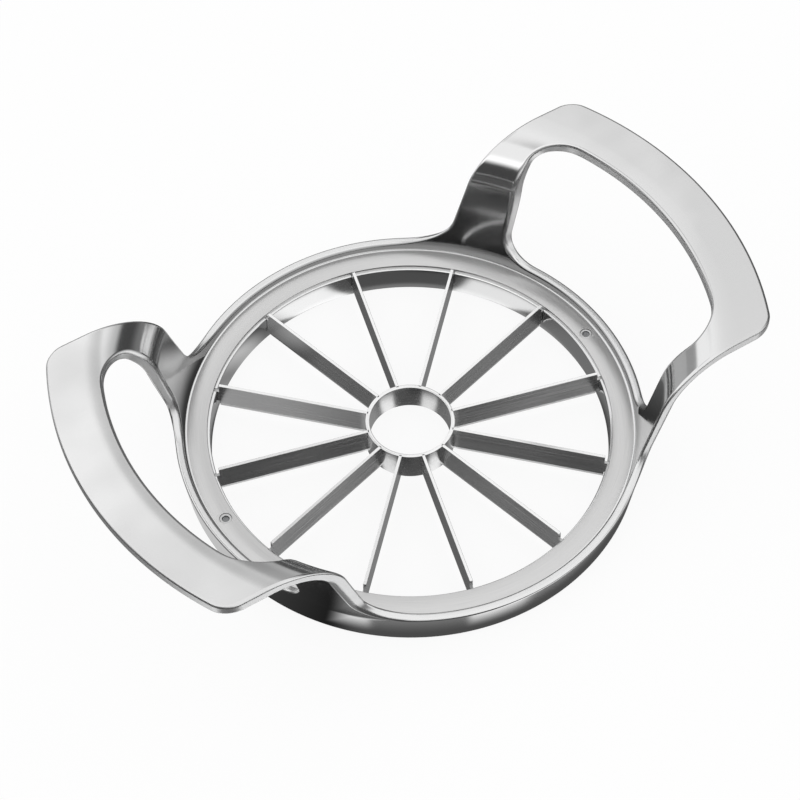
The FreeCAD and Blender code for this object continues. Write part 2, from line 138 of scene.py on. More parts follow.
# %% Finish
class Finish:
    """One material with its Principled shader ready, or the nodes of the sky."""

    def __init__(self, name, holder=None):
        self.material = holder or bpy.data.materials.new(name)
        self.material.use_nodes = True
        self.tree = self.material.node_tree
        self.shader = self.tree.nodes.get("Principled BSDF")

    def node(self, kind, settings=None, inputs=None, output=0):
        """Add a node, set it up, feed its sockets, and give one of its outputs as a Field."""
        made = self.tree.nodes.new(kind)
        for key, value in (settings or {}).items():
            setattr(made, key, value)
        for key, value in (inputs or {}).items():
            self.fill(made.inputs[key], value)
        return Field(self, made.outputs[output])

    def fill(self, socket, value):
        """Link a Field to a socket, or set the socket to a plain value."""
        if isinstance(value, Field):
            self.tree.links.new(value.socket, socket)
        else:
            socket.default_value = value

    def feed(self, **values):
        """Set or link the shader's own sockets: base_color=... goes to Base Color."""
        for key, value in values.items():
            self.fill(self.shader.inputs[key.replace("_", " ").title()], value)

    def surface(self, shader):
        """Show another shader in place of the Principled one."""
        self.fill(self.tree.nodes["Material Output"].inputs["Surface"], shader)

    def place(self, stretch=(1.0, 1.0, 1.0)):
        """The surface point in metres, stretched."""
        point = self.node("ShaderNodeTexCoord", output="Object")
        return self.node("ShaderNodeMapping", inputs={"Vector": point, "Scale": stretch})

    def parts(self, vector):
        """The three numbers of a vector."""
        split = self.node("ShaderNodeSeparateXYZ", inputs={0: vector})
        return [Field(self, socket) for socket in split.socket.node.outputs]

    def joined(self, x, y, z):
        """A vector from three numbers."""
        return self.node("ShaderNodeCombineXYZ", inputs={0: x, 1: y, 2: z})

    def round_place(self):
        """The surface point as distance from the tool's axis, turn about it, and height."""
        x, y, z = self.parts(self.place())
        return (x * x + y * y).root(), x.maths("ARCTAN2", y, x), z

    def noise(self, where, scale, detail=2.0, roughness=0.5):
        """Cloudy values between 0 and 1."""
        return self.node("ShaderNodeTexNoise", inputs={
            "Vector": where, "Scale": scale, "Detail": detail, "Roughness": roughness})

    def between(self, value, low, high, out_low=0.0, out_high=1.0):
        """Stretch the values from low to high over a new range, and hold them at its ends."""
        return self.node("ShaderNodeMapRange", inputs={0: value, 1: low, 2: high, 3: out_low, 4: out_high})

    def smooth(self, value, low, high, out_low, out_high):
        """The same with a soft start and a soft end."""
        return self.node("ShaderNodeMapRange", {"interpolation_type": "SMOOTHSTEP"},
                         {0: value, 1: low, 2: high, 3: out_low, 4: out_high})

    def hill(self, value, centre, half_width):
        """1 where the value is at the centre, falling smoothly to 0 at half a width to each side."""
        gap = value - centre
        return self.smooth(gap.maths("ABSOLUTE", gap), 0.0, half_width, 1.0, 0.0)

    def ramp(self, value, start, end):
        """0 on the start's side, 1 on the end's side, and a smooth change between them."""
        if start < end:
            return self.smooth(value, start, end, 0.0, 1.0)
        return self.smooth(value, end, start, 1.0, 0.0)

    def blend(self, amount, first, second):
        """Two colours, mixed by an amount that varies."""
        return self.node("ShaderNodeMix", {"data_type": "RGBA"}, {"Factor": amount, 6: first, 7: second},
                         output=2)

    def bump(self, height, strength, distance, under=None):
        """Turn heights into a tilt of the surface, on top of another one if given."""
        inputs = {"Height": height, "Strength": strength, "Distance": distance}
        if under:
            inputs["Normal"] = under
        return self.node("ShaderNodeBump", inputs=inputs)


def grey(level, warmth=0.0):
    """A grey as a colour, a little warmer or cooler."""
    return (level * (1 + warmth), level, level * (1 - warmth), 1.0)


print("shader helpers ready")

# %% [markdown]
# ## The casting: its sizes
#
# The ring wall and the two handles are one casting: the wall leans out as it rises, is cut into two
# loops, and bends over into a flat grip at each side.  Seen in section it is two lines, an inner and an
# outer one, each a straight run, an arc and a level run.  A few heights, widths, angles and radii give
# both, and the rest is worked out from them.

# %% Sizes of the casting, in millimetres
OPENING = 51.4
LEDGE = 7.8
RECESS = 57.45
RIM_TOP = 10.8
RIM_WIDTH = 2.3
FOOT_OUTER = 59.0
GRIP_TOP = 45.0
GRIP_UNDERSIDE = 41.6
GRIP_INNER = 76.25
GRIP_OUTER = 89.65
HALF_WIDTH = 44.2
WALL_ANGLE = math.radians(76.5)
BACK_ANGLE = math.radians(75.0)
BEND_RADIUS = 18.0
UNDER_RADIUS = 13.8

wall_run = (GRIP_TOP - BEND_RADIUS * (1 - math.cos(WALL_ANGLE)) - LEDGE) / math.sin(WALL_ANGLE)
bend_run = BEND_RADIUS * WALL_ANGLE
bend_centre = RECESS + wall_run * math.cos(WALL_ANGLE) + BEND_RADIUS * math.sin(WALL_ANGLE)
rim_outer = RECESS + (RIM_TOP - LEDGE) / math.tan(WALL_ANGLE) + RIM_WIDTH
under_low = GRIP_UNDERSIDE - UNDER_RADIUS * (1 - math.cos(BACK_ANGLE))
under_centre = (rim_outer + (under_low - RIM_TOP) / math.tan(BACK_ANGLE)
                + UNDER_RADIUS * math.sin(BACK_ANGLE))
grip_start = wall_run + bend_run
grip_end = grip_start + GRIP_OUTER - bend_centre
rim_level = (RIM_TOP - LEDGE) / math.sin(WALL_ANGLE)
loop_level = wall_run + BEND_RADIUS * (WALL_ANGLE - math.asin((bend_centre - GRIP_INNER) / BEND_RADIUS))
print("height of the flat wall:", round(LEDGE + grip_end, 2), "mm, loop from", round(rim_level, 2),
      "to", round(loop_level, 2))

# %% [markdown]
# ## The casting: rolling up a flat wall
#
# A casting has no knife edges: the buffing wheel leaves each of them about a millimetre round.  A bevel
# on so many curved cuts would tear.  So the wall is made the way sheet metal is: one quarter is laid out
# flat, with the height along one axis and the width along the other, rounded while it is flat, and then
# rolled up onto the curve of the handle.  These two functions say where a point of the flat wall goes.

# %% Rolling up the flat wall
ROLL_START = 52.2
FLAT_HALF_WIDTH = 78.7
FLAT_DEPTH = 3.4


def wall_faces(run):
    """The inner and the outer face at a place along the flat wall, as distance from the axis and height."""
    if run <= wall_run:
        height = LEDGE + run * (math.sin(WALL_ANGLE) if run > 0 else 1.0)
        inner = RECESS + max(run, 0.0) * math.cos(WALL_ANGLE)
        if height <= RIM_TOP:
            return (inner, height), (FOOT_OUTER + (rim_outer - FOOT_OUTER) * height / RIM_TOP, height)
        share = (run - rim_level) / (wall_run - rim_level)
        outer_height = RIM_TOP + (under_low - RIM_TOP) * share
        return (inner, height), (rim_outer + (outer_height - RIM_TOP) / math.tan(BACK_ANGLE), outer_height)
    if run <= grip_start:
        left = 1 - (run - wall_run) / bend_run
        lean, under_lean = WALL_ANGLE * left, BACK_ANGLE * left
        return ((bend_centre - BEND_RADIUS * math.sin(lean), GRIP_TOP - BEND_RADIUS * (1 - math.cos(lean))),
                (under_centre - UNDER_RADIUS * math.sin(under_lean),
                 GRIP_UNDERSIDE - UNDER_RADIUS * (1 - math.cos(under_lean))))
    share = (run - grip_start) / (grip_end - grip_start)
    return ((bend_centre + (GRIP_OUTER - bend_centre) * share, GRIP_TOP),
            (under_centre + (GRIP_OUTER - under_centre) * share, GRIP_UNDERSIDE))


def rolled(point):
    """Move a point of the flat wall (across, along, deep) to its place on the casting."""
    across, run, deep = point
    inner, outer = wall_faces(run)
    thickness = math.dist(inner, outer)
    share = (deep if deep < FLAT_DEPTH / 2 else thickness - (FLAT_DEPTH - deep)) / thickness
    distance = inner[0] + (outer[0] - inner[0]) * share
    height = inner[1] + (outer[1] - inner[1]) * share
    turn = math.asin(min(across, ROLL_START) / distance)
    if across > ROLL_START:
        turn += (math.pi / 2 - turn) * (across - ROLL_START) / (FLAT_HALF_WIDTH - ROLL_START)
    return distance * math.cos(turn), distance * math.sin(turn), height


print("wall thickness at the rim:", round(math.dist(*wall_faces(rim_level)), 2), "mm")

# %% [markdown]
# ## A few bench tools
#
# Every piece starts as a flat face, gets its corners rounded, and is then spun or extruded.  These
# helpers do the steps that come back: draw the face, round it, spin it, hand it over as a piece that
# rides on the tool's body, and cut slots and holes.

# %% Drawing, rounding and spinning
def flat_face(shape, corners):
    """A closed face through a few corners, in order."""
    return shape.faces.new([shape.verts.new(corner) for corner in corners])


def round_corners(shape, rounding):
    """Round some corners of a flat face.  Each one comes with the length that it takes off both sides."""
    for point, reach, steps in rounding:
        bmesh.ops.bevel(shape, geom=[point], offset=reach, offset_type="OFFSET", affect="VERTICES",
                        segments=steps, profile=0.5, material=-1, clamp_overlap=False)


def points_of(made):
    """The points among the things that an extrude has made."""
    return [item for item in made["geom"] if isinstance(item, bmesh.types.BMVert)]


def everything(shape):
    """All points, edges and faces of a shape, as the cutting operators want them."""
    return shape.verts[:] + shape.edges[:] + shape.faces[:]


def spun(corners, rounding, steps=240, centre=(0.0, 0.0)):
    """A ring or a pin: a closed section through a few corners, rounded, and spun about an upright axis."""
    shape = bmesh.new()
    section = flat_face(shape, [(distance, 0.0, height) for distance, height in corners])
    points = list(section.verts)
    round_corners(shape, [(points[index], reach, arc_steps) for index, reach, arc_steps in rounding])
    bmesh.ops.delete(shape, geom=shape.faces[:], context="FACES_ONLY")
    bmesh.ops.spin(shape, geom=shape.verts[:] + shape.edges[:], cent=(0, 0, 0), axis=(0, 0, 1),
                   angle=math.tau, steps=steps, use_merge=True)
    bmesh.ops.remove_doubles(shape, verts=shape.verts, dist=0.0005)
    bmesh.ops.translate(shape, vec=(*centre, 0.0), verts=shape.verts)
    return shape


print("bench tools: face, rounding, spin")


# %% Making a piece, and cutting into it
def new_object(name, shape):
    """Turn a bmesh into an object of the scene."""
    mesh = bpy.data.meshes.new(name)
    shape.to_mesh(mesh)
    shape.free()
    made = bpy.data.objects.new(name, mesh)
    bpy.context.scene.collection.objects.link(made)
    return made


def new_piece(name, shape, body="root"):
    """Turn a bmesh, drawn in millimetres, into a piece in metres that rides on the body."""
    bmesh.ops.scale(shape, vec=(MM, MM, MM), verts=shape.verts)
    bmesh.ops.recalc_face_normals(shape, faces=shape.faces)
    piece = new_object(name, shape)
    piece.data.shade_smooth()
    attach(piece, body)
    return piece


def cut_from(piece, cutters):
    """Take the cutters away from a piece, and keep its flat faces flat."""
    cutter = new_piece("cutters", cutters)
    cut = piece.modifiers.new("cut", "BOOLEAN")
    cut.operation = "DIFFERENCE"
    cut.solver = "EXACT"
    cut.object = cutter
    mesh = bpy.data.meshes.new_from_object(piece.evaluated_get(bpy.context.evaluated_depsgraph_get()))
    piece.modifiers.clear()
    piece.data = mesh
    bpy.data.objects.remove(cutter)


print("bench tools: piece, cut")

# %% [markdown]
# ## The casting: a quarter of the wall, laid out flat
#
# The outline goes round the foot, out to the V where ring and handle part, up the outside of the loop,
# over the grip and back round the loop's opening.  Its inner corners are rounded first, then the face is
# extruded to a sheet and the sheet's edges are bevelled.  Before the sheet is cut into small cells, so
# that it can bend, each point notes which way it faces, and how much it belongs to a cut side.

# %% Draw and round the flat quarter
EDGE_ROUND = 0.9
EDGE_STEPS = 4
FOOT_REACH = 8.0
GRIP_CORNER = 3.6
LOOP_CORNER = 9.2
LOOP_BEND = 7.5
LOOP_TOP_HALF = 37.9
LOOP_BEND_HALF = 33.9
LOOP_BEND_LEVEL = 27.0
LOOP_FOOT_HALF = 32.1
NEAR = 0.001


def all_at(item, axis, value):
    """Whether all points of an edge or a face lie at a value along an axis."""
    return all(abs(point.co[axis] - value) < NEAR for point in item.verts)


flat = bmesh.new()
outline = flat_face(flat, [(across, run, 0.0) for across, run in (
    (0.0, -LEDGE), (FLAT_HALF_WIDTH, -LEDGE), (FLAT_HALF_WIDTH, rim_level), (HALF_WIDTH, rim_level),
    (HALF_WIDTH, grip_end), (0.0, grip_end), (0.0, loop_level), (LOOP_TOP_HALF, loop_level),
    (LOOP_BEND_HALF, LOOP_BEND_LEVEL), (LOOP_FOOT_HALF, rim_level), (0.0, rim_level))])
corner = list(outline.verts)
round_corners(flat, [(corner[3], FOOT_REACH, 12), (corner[4], GRIP_CORNER, 8), (corner[7], LOOP_CORNER, 14),
                     (corner[8], LOOP_BEND, 6), (corner[9], FOOT_REACH, 12)])
bmesh.ops.translate(flat, vec=(0.0, 0.0, FLAT_DEPTH),
                    verts=points_of(bmesh.ops.extrude_face_region(flat, geom=flat.faces[:])))
bmesh.ops.recalc_face_normals(flat, faces=flat.faces)

soft_edges = [edge for edge in flat.edges
              if (all_at(edge, 2, 0.0) or all_at(edge, 2, FLAT_DEPTH))
              and not all_at(edge, 0, 0.0) and not all_at(edge, 0, FLAT_HALF_WIDTH)
              and not (all_at(edge, 2, 0.0) and all_at(edge, 1, -LEDGE))]
bmesh.ops.bevel(flat, geom=soft_edges, offset=EDGE_ROUND, offset_type="OFFSET", affect="EDGES",
                segments=EDGE_STEPS, profile=0.5, material=-1, clamp_overlap=False)
open_ends = [face for face in flat.faces if all_at(face, 0, 0.0) or all_at(face, 0, FLAT_HALF_WIDTH)]
bmesh.ops.delete(flat, geom=open_ends, context="FACES")
flat.normal_update()
print("flat quarter:", len(soft_edges), "edges rounded")

# %% Note where each point faces, and cut the sheet into cells
CELL = 1.1

facing_layer = flat.verts.layers.float_vector.new("facing")
side_layer = flat.verts.layers.float.new("side")
for point in flat.verts:
    facing = point.normal.copy()
    if abs(point.co.z) < NEAR or abs(point.co.z - FLAT_DEPTH) < NEAR:
        facing = Vector((0.0, 0.0, -1.0 if point.co.z < NEAR else 1.0))
    elif min(point.co.z, FLAT_DEPTH - point.co.z) > EDGE_ROUND - NEAR:
        facing.z = 0.0
    if point.co.x < NEAR or point.co.x > FLAT_HALF_WIDTH - NEAR:
        facing.x = 0.0
    point[facing_layer] = facing.normalized()
    point[side_layer] = 1.0 - abs(point[facing_layer].z)
for axis, low, high in ((0, 0.0, FLAT_HALF_WIDTH), (1, -LEDGE, grip_end)):
    for step in range(1, int((high - low) / CELL) + 1):
        place, facing = [0.0, 0.0, 0.0], [0.0, 0.0, 0.0]
        place[axis], facing[axis] = low + step * CELL, 1.0
        bmesh.ops.bisect_plane(flat, geom=everything(flat), dist=0.02, plane_co=place, plane_no=facing)
print("flat quarter:", len(flat.faces), "faces")

# %% [markdown]
# ## The casting: rolled up and mirrored
#
# The directions are rolled up with the points: three tiny steps from a point, along, up and outward, show
# how the sheet is turned and stretched there, and their cross products carry the old direction over.  The
# quarter is then mirrored twice.  The four quarters share their seams, so no seam shows on the casting.

# %% Roll it up and mirror it
STEP = 0.01


def rolled_facing(point, facing):
    """The direction that a flat surface point faces once it is rolled up."""
    start = Vector(rolled(point))
    sides = []
    for axis in range(3):
        moved = Vector(point)
        step = -STEP if axis == 2 and point[2] > FLAT_DEPTH / 2 else STEP
        moved[axis] += step
        sides.append((Vector(rolled(moved)) - start) / step)
    along, up, out = sides
    turned = up.cross(out) * facing[0] + out.cross(along) * facing[1] + along.cross(up) * facing[2]
    return turned.normalized()


def mirrored_facing(point):
    """The direction of a point after mirroring: its sign follows the point's place, and is 0 on a seam."""
    signs = [0 if abs(place) <= NEAR else math.copysign(1, place) for place in point.co.xy] + [1]
    return [value * sign for value, sign in zip(point[facing_layer], signs)]


for point in flat.verts:
    point[facing_layer] = rolled_facing(point.co, point[facing_layer])
    point.co = rolled(point.co)
for axis in ("Y", "X"):
    bmesh.ops.mirror(flat, geom=everything(flat), axis=axis, merge_dist=0.01)
bmesh.ops.remove_doubles(flat, verts=flat.verts, dist=0.005)
facings = [mirrored_facing(point) for point in flat.verts]
casting = new_piece("casting", flat)
casting.data.normals_split_custom_set_from_vertices(facings)
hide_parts("frame_casting")
print("casting:", len(casting.data.polygons), "faces")

# %% [markdown]
# ## The ledge ring
#
# Inside the wall the casting has a ledge, where the blades' tabs lie in twelve slots and two pins go in.
# It is a plain ring, so its section is spun, and boxes and rods cut the slots and the holes out of it.

# %% The ledge ring
LEDGE_OUTER = 57.4
WALL_BACK = 57.6
SLOT_HALF_WIDTH = 0.5
SLOT_FLOOR = 3.8
SLOT_CUT = 6.0
SLOT_START = 50.2
SLOT_END = 54.5
PIN_PLACE = 54.725
PIN_RADIUS = 1.6
PIN_DEPTH = 4.0
BLADE_COUNT = 12
FIRST_BLADE = math.radians(-15)
SHARP = math.radians(28)


def blade_turn(index):
    """The turn that brings something drawn along the x axis to the place of a blade."""
    return Matrix.Rotation(FIRST_BLADE + index * math.tau / BLADE_COUNT, 3, "Z")


def pin_holes(shape, radius, low, high):
    """Two rods that cut the pins' holes."""
    for side in (-1, 1):
        hole = bmesh.ops.create_cone(shape, cap_ends=True, segments=64, radius1=radius, radius2=radius,
                                     depth=high - low)
        bmesh.ops.translate(shape, vec=(side * PIN_PLACE, 0, (low + high) / 2), verts=hole["verts"])


ledge_ring = new_piece("ledge_ring", spun(
    [(OPENING, 0), (LEDGE_OUTER, 0), (WALL_BACK, 0.3), (WALL_BACK, LEDGE), (OPENING, LEDGE)],
    [(0, 0.5, 3), (4, 0.35, 3)]))
cutters = bmesh.new()
for index in range(BLADE_COUNT):
    slot = bmesh.ops.create_cube(cutters, size=1.0)["verts"]
    bmesh.ops.scale(cutters, vec=(SLOT_END - SLOT_START, 2 * SLOT_HALF_WIDTH, SLOT_CUT), verts=slot)
    bmesh.ops.translate(cutters, vec=((SLOT_END + SLOT_START) / 2, 0, SLOT_FLOOR + SLOT_CUT / 2), verts=slot)
    bmesh.ops.rotate(cutters, cent=(0, 0, 0), matrix=blade_turn(index), verts=slot)
pin_holes(cutters, PIN_RADIUS, LEDGE - PIN_DEPTH, LEDGE + 1)
cut_from(ledge_ring, cutters)
ledge_ring.data.set_sharp_from_angle(angle=SHARP)
print("ledge ring:", len(ledge_ring.data.polygons), "faces")

# %% [markdown]
# ## The retaining ring and its pins
#
# The retaining ring is a flat washer, pressed from sheet and held by two pins that stand a hair below its
# face, each with a punched dimple.  A polished bead of the casting is pressed over its outer edge.  All
# four are sections spun round: the washer and the bead about the tool's axis, the pins about their own.

# %% The retaining ring
PLATE_INNER = 52.1
PLATE_OUTER = 57.35
PLATE_TOP = 8.8
PLATE_STEPS = 288
PLATE_SHARP = math.radians(50)
HOLE_PLAY = 0.02

plate = new_piece("retaining_plate", spun(
    [(PLATE_INNER, LEDGE), (PLATE_OUTER, LEDGE), (PLATE_OUTER, PLATE_TOP), (PLATE_INNER, PLATE_TOP)],
    [(3, 0.18, 3), (2, 0.08, 2)], steps=PLATE_STEPS))
cutters = bmesh.new()
pin_holes(cutters, PIN_RADIUS + HOLE_PLAY, LEDGE - 1, PLATE_TOP + 1)
cut_from(plate, cutters)
plate.data.set_sharp_from_angle(angle=PLATE_SHARP)
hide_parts("retaining_ring")
print("retaining ring:", len(plate.data.polygons), "faces")

# %% The bead and the pins
BEAD_INNER = 57.30
BEAD_OUTER = 57.75
BEAD_LOW = 7.9
BEAD_TOP = 8.86
PIN_BOTTOM = 4.0
PIN_TOP = 8.7
DIMPLE_RADIUS = 0.95
DIMPLE_FLOOR_RADIUS = 0.85
DIMPLE_EDGE = 8.1
DIMPLE_MIDDLE = 8.2

bead = new_piece("pressed_bead", spun(
    [(BEAD_INNER, BEAD_LOW), (BEAD_OUTER, BEAD_LOW), (BEAD_OUTER, BEAD_TOP), (BEAD_INNER, BEAD_TOP)],
    [(3, 0.06, 2)], steps=PLATE_STEPS))
bead.data.set_sharp_from_angle(angle=SHARP)
pins = [new_piece(name, spun(
    [(0, PIN_BOTTOM), (PIN_RADIUS, PIN_BOTTOM), (PIN_RADIUS, PIN_TOP), (DIMPLE_RADIUS, PIN_TOP),
     (DIMPLE_FLOOR_RADIUS, DIMPLE_EDGE), (0, DIMPLE_MIDDLE)],
    [(2, 0.2, 3), (3, 0.1, 2), (4, 0.15, 3)], steps=64, centre=(side * PIN_PLACE, 0.0)))
    for name, side in (("pin_left", -1), ("pin_right", 1))]
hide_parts("retaining_pins")
print("bead:", len(bead.data.polygons), "faces, pins:", len(pins))

# %% [markdown]
# ## The blades and the core tube
#
# Each blade is cut from strip: a long bar with a small tab at its outer end, which drops into a slot, and
# a ground edge below.  Its side view is drawn once as a flat face and extruded by the strip's thickness.
# A cut along the top of the grinding lets the lowest edge be pinched in, so that the ground faces are
# far steeper than wide, as a grinder leaves them.  The core tube is one more spun section.

# %% Blades
BLADE_THICKNESS = 0.8
BLADE_BOTTOM = 1.7
BLADE_TOP = 10.2
TAB_BOTTOM = 3.9
TAB_TOP = 7.7
TAB_END = 54.4
BODY_END = 50.8
CUTTING_EDGE = 0.2
GROUND_HEIGHT = 1.2
CORE_OUTER = 11.5
IN_THE_TUBE = 0.4
TOP_BREAK = 0.08
LONG_EDGE = 5.0
BLADE_SHARP = math.radians(10)

blades = []
for index in range(BLADE_COUNT):
    strip = bmesh.new()
    side_view = flat_face(strip, [(x, -BLADE_THICKNESS / 2, z) for x, z in (
        (CORE_OUTER - IN_THE_TUBE, BLADE_BOTTOM), (BODY_END, BLADE_BOTTOM), (BODY_END, TAB_BOTTOM),
        (TAB_END, TAB_BOTTOM), (TAB_END, TAB_TOP), (BODY_END, TAB_TOP), (BODY_END, BLADE_TOP),
        (CORE_OUTER - IN_THE_TUBE, BLADE_TOP))])
    bmesh.ops.translate(strip, vec=(0, BLADE_THICKNESS, 0),
                        verts=points_of(bmesh.ops.extrude_face_region(strip, geom=[side_view])))
    bmesh.ops.bisect_plane(strip, geom=everything(strip), plane_co=(0, 0, BLADE_BOTTOM + GROUND_HEIGHT),
                           plane_no=(0, 0, 1))
    lowest = [point for point in strip.verts if abs(point.co.z - BLADE_BOTTOM) < NEAR]
    bmesh.ops.scale(strip, vec=(1, CUTTING_EDGE / BLADE_THICKNESS, 1), verts=lowest)
    top_edges = [edge for edge in strip.edges
                 if all_at(edge, 2, BLADE_TOP) and edge.calc_length() > LONG_EDGE]
    bmesh.ops.bevel(strip, geom=top_edges, offset=TOP_BREAK, offset_type="OFFSET", affect="EDGES", segments=2,
                    profile=0.5, material=-1)
    bmesh.ops.rotate(strip, cent=(0, 0, 0), matrix=blade_turn(index), verts=strip.verts)
    blade = new_piece(f"cutting_blade_{index + 1:02d}", strip)
    blade.data.set_sharp_from_angle(angle=BLADE_SHARP)
    blades.append(blade)
print("blades:", len(blades))

# %% The core tube
CORE_INNER = 10.45
CORE_GROUND = 0.8
CORE_EDGE = 0.15

core = new_piece("core_tube", spun(
    [(CORE_OUTER, BLADE_BOTTOM), (CORE_OUTER, BLADE_TOP), (CORE_INNER, BLADE_TOP),
     (CORE_INNER, BLADE_BOTTOM + CORE_GROUND), (CORE_OUTER - CORE_EDGE, BLADE_BOTTOM)],
    [(1, 0.15, 2), (2, 0.2, 2)], steps=160))
core.data.set_sharp_from_angle(angle=SHARP)
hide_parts("core_ring")
print("core tube:", len(core.data.polygons), "faces")

# %% [markdown]
# ## Finish one: the polished casting
#
# A casting is ground, buffed on a soft wheel and plated.  It mirrors the room, but never perfectly: the
# buffing leaves long shallow waves that bend a reflection, and a haze of hair-fine lines.  Pure metal
# with a low roughness gives the mirror.  One wide noise gives the waves, and one that is stretched into
# long hairs gives the lines, which tilt the surface and blur it a little where they lie.
#
# Three places look different.  The cut sides of the loops get less buffing, so they are duller, by the
# amount that each point noted.  The corner above the satin ring is darkened with painted shade.  The
# level grips are rubbed by hands: they are softer, palms leave them darker in patches, and painted shade
# darkens them further towards the right handle and towards the front.

# %% The polished casting
POLISH_LEVEL = 0.84
POLISH_ROUGHNESS = 0.085
SIDE_ROUGHNESS = 0.22
GRIP_ROUGHNESS = 0.10
# how far the painted shade in the corner above the satin ring darkens the casting
CORNER_SHADE_DEPTH = 0.6
CORNER_LEAN = 0.24

casting_finish = Finish("polished_casting")
waves = casting_finish.noise(casting_finish.place(), 70.0, detail=1.0)
hairs = casting_finish.noise(casting_finish.place((60.0, 1500.0, 900.0)), 1.0, detail=3.0, roughness=0.6)
cross_hairs = casting_finish.noise(casting_finish.place((1400.0, 90.0, 1100.0)), 1.0, detail=2.0)
haze = casting_finish.noise(casting_finish.place(), 28.0, detail=2.0)
side = casting_finish.node("ShaderNodeAttribute", {"attribute_name": "side"}, output="Fac")
polish_tilt = casting_finish.bump(waves, 0.10, 0.0006)
polish_tilt = casting_finish.bump(hairs * 0.6 + cross_hairs * 0.4, 0.03, 0.0001, under=polish_tilt)
buffed = casting_finish.blend(haze, grey(POLISH_LEVEL, 0.004), grey(POLISH_LEVEL * 0.95, -0.006))

across, back, height = casting_finish.parts(casting_finish.place())
# the grips are darker in random patches of palm wear, and with painted shade towards the right handle and the
# front
palms = casting_finish.noise(casting_finish.place(), 34.0, detail=2.0, roughness=0.6)
level_grip_mask = casting_finish.ramp(height, 43.8 * MM, 45.0 * MM)
palm_wear_and_painted_shade = (casting_finish.between(palms, 0.40, 0.62) * 0.6
          + casting_finish.ramp(across, 20 * MM, 70 * MM) * 0.7
          + casting_finish.ramp(back, 5 * MM, -30 * MM) * 0.45).least(1.0)
grips = casting_finish.blend(palm_wear_and_painted_shade, grey(0.85), grey(0.68))

distance, _, height = casting_finish.round_place()
# painted shade: the casting is darkened in the corner above the satin ring
painted_corner_shade = (casting_finish.ramp(height, 8.9 * MM, 9.2 * MM)
             * casting_finish.ramp(height, 16.0 * MM, 9.5 * MM)
             * casting_finish.ramp(distance - height * CORNER_LEAN, 56.00 * MM, 55.66 * MM))
casting_finish.feed(
    metallic=1.0,
    base_color=casting_finish.blend(painted_corner_shade * CORNER_SHADE_DEPTH, casting_finish.blend(level_grip_mask, buffed, grips),
                                    grey(0.02)),
    roughness=casting_finish.between(hairs * 0.5 + haze * 0.5, 0.3, 0.7, POLISH_ROUGHNESS,
                                     POLISH_ROUGHNESS + 0.06)
    + side * SIDE_ROUGHNESS + level_grip_mask * GRIP_ROUGHNESS,
    normal=polish_tilt,
)
print("polished casting:", len(casting_finish.tree.nodes), "nodes")

# %% [markdown]
# ## Finish two: the satin ring
#
# The retaining ring is stamped from stainless sheet and turned against an abrasive pad, so its grain
# runs round the ring in fine circles, and light spreads along it softly.  The circles come from a noise
# that changes fast with the distance from the axis and slowly with the turn about it.

# %% The satin ring
SATIN_LEVEL = 0.68

satin_finish = Finish("satin_plate")
distance, turn, height = satin_finish.round_place()
circles = satin_finish.noise(satin_finish.joined(distance * 9000.0, turn * 5.0, height * 900.0), 1.0,
                             detail=2.0, roughness=0.6)
broad = satin_finish.noise(satin_finish.place(), 45.0, detail=2.0)
satin_finish.feed(
    metallic=1.0,
    base_color=satin_finish.blend(satin_finish.between(circles * 0.9 + broad * 0.1, 0.3, 0.7),
                                  grey(SATIN_LEVEL * 0.93), grey(SATIN_LEVEL * 1.05, 0.004)),
    roughness=satin_finish.between(circles, 0.3, 0.7, 0.28, 0.34),
    normal=satin_finish.bump(circles, 0.05, 0.00003),
)
print("satin ring:", len(satin_finish.tree.nodes), "nodes")

# %% [markdown]
# ## Finish three: the pins
#
# A pin is a plain steel rod.  Its head is rubbed bright together with the satin ring, and the punched
# dimple is coloured dark as painted shade.  Height alone tells the two apart.
# The grain is too short for lines, so a fine even noise stands for it.

# %% The pins' steel
pin_finish = Finish("pin_steel")
_, _, height = pin_finish.parts(pin_finish.place())
# painted shade: the punched dimple is coloured dark
painted_dimple_shade = pin_finish.ramp(height, 8.66 * MM, 8.50 * MM)
specks = pin_finish.noise(pin_finish.place(), 2500.0, detail=2.0)
pin_finish.feed(
    metallic=1.0,
    base_color=pin_finish.blend(painted_dimple_shade, grey(SATIN_LEVEL * 0.95), grey(0.28, -0.02)),
    roughness=pin_finish.between(specks, 0.3, 0.7, 0.26, 0.36),
    normal=pin_finish.bump(specks, 0.08, 0.00005),
)
print("pin steel:", len(pin_finish.tree.nodes), "nodes")

# %% [markdown]
# ## Finish four: the blades
#
# The blades are cut from cold-rolled stainless strip.  Rolling draws the grain out along the strip, so
# the lines run level along each blade and round the core tube alike.  A noise that changes fast with
# height and slowly with the distance from the axis does both.  The ground bevel at the lower edge is
# smoother than the rest, the sheared top edge is painted bright as a highlight, half way out the strip
# is lightened by a painted sheen, and the core tube is brighter, because it is turned, not rolled.

# %% The blade steel
BLADE_LEVEL = 0.50
TUBE_LEVEL = 0.80
# the level of the painted highlight on the blades' top edges
TOP_HIGHLIGHT_LEVEL = 0.92

